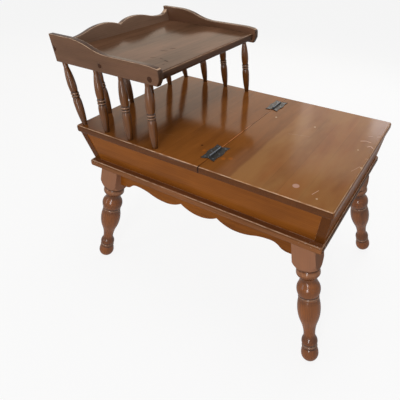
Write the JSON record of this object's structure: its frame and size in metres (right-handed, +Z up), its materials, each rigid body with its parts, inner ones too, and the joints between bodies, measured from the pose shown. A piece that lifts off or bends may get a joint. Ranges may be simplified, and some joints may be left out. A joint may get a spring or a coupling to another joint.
{
  "type": "lift top end table",
  "caption": "End table with a flared storage box under a hinged lift-up half top, on splayed turned legs, with a raised gallery shelf on turned spindles behind the lid.",
  "frame": {"origin": "on the floor, at the middle of the table's bounding box", "axes": "+X along the table from the gallery towards the lid's end, +Y across the table, +Z up from the floor"},
  "size_m": [0.777, 0.507, 0.689],
  "materials": {
    "maple_top": "satin to glossy clear varnish over a warm brown stain",
    "maple_box": "satin to glossy clear varnish over a warm brown stain",
    "maple_leg": "satin to glossy clear varnish over a warm brown stain",
    "maple_gallery": "satin to glossy clear varnish over a warm brown stain",
    "maple_spindle": "satin to glossy clear varnish over a warm brown stain",
    "maple_hidden": "plain planed wood, not stained",
    "black_iron": "black painted, semi-gloss",
    "screw_black": "blackened",
    "screw_steel": "plain zinc plate"
  },
  "bodies": {
    "base": {"apron_back": "maple_box", "apron_far": "maple_box", "apron_front": "maple_box", "apron_near": "maple_box", "base_plate": "maple_box", "box_end_back": "maple_box", "box_end_front": "maple_box", "box_screws": "screw_steel", "box_side_far": "maple_box", "box_side_near": "maple_box", "gallery_back": "maple_gallery", "gallery_buttons_far": "maple_gallery", "gallery_buttons_near": "maple_gallery", "gallery_side_far": "maple_gallery", "gallery_side_near": "maple_gallery", "hinge_far_leaf_fixed": "black_iron", "hinge_far_pin": "black_iron", "hinge_near_leaf_fixed": "black_iron", "hinge_near_pin": "black_iron", "hinge_screws_fixed": "screw_black", "leg_back_far": "maple_leg", "leg_back_near": "maple_leg", "leg_front_far": "maple_leg", "leg_front_near": "maple_leg", "leg_screws": "screw_steel", "rail_screws": "screw_steel", "seam_rail": "maple_hidden", "shelf_board": "maple_gallery", "shelf_screws": "screw_steel", "spindle_back_1": "maple_spindle", "spindle_back_2": "maple_spindle", "spindle_back_3": "maple_spindle", "spindle_back_4": "maple_spindle", "spindle_far_1": "maple_spindle", "spindle_far_2": "maple_spindle", "spindle_far_3": "maple_spindle", "spindle_far_4": "maple_spindle", "spindle_near_1": "maple_spindle", "spindle_near_2": "maple_spindle", "spindle_near_3": "maple_spindle", "spindle_near_4": "maple_spindle", "top_fixed": "maple_top"},
    "lid": {"batten_screws": "screw_steel", "hinge_far_leaf_lid": "black_iron", "hinge_near_leaf_lid": "black_iron", "hinge_screws_lid": "screw_black", "lid": "maple_top", "lid_batten_far": "maple_hidden", "lid_batten_near": "maple_hidden"}
  },
  "joints": [
    {"name": "lid_hinge", "type": "hinge", "parent": "base", "child": "lid", "pos_m": [0.04707, 0, 0.4701], "axis": [0, -1, 0], "range_deg": [0, 117]}
  ]
}
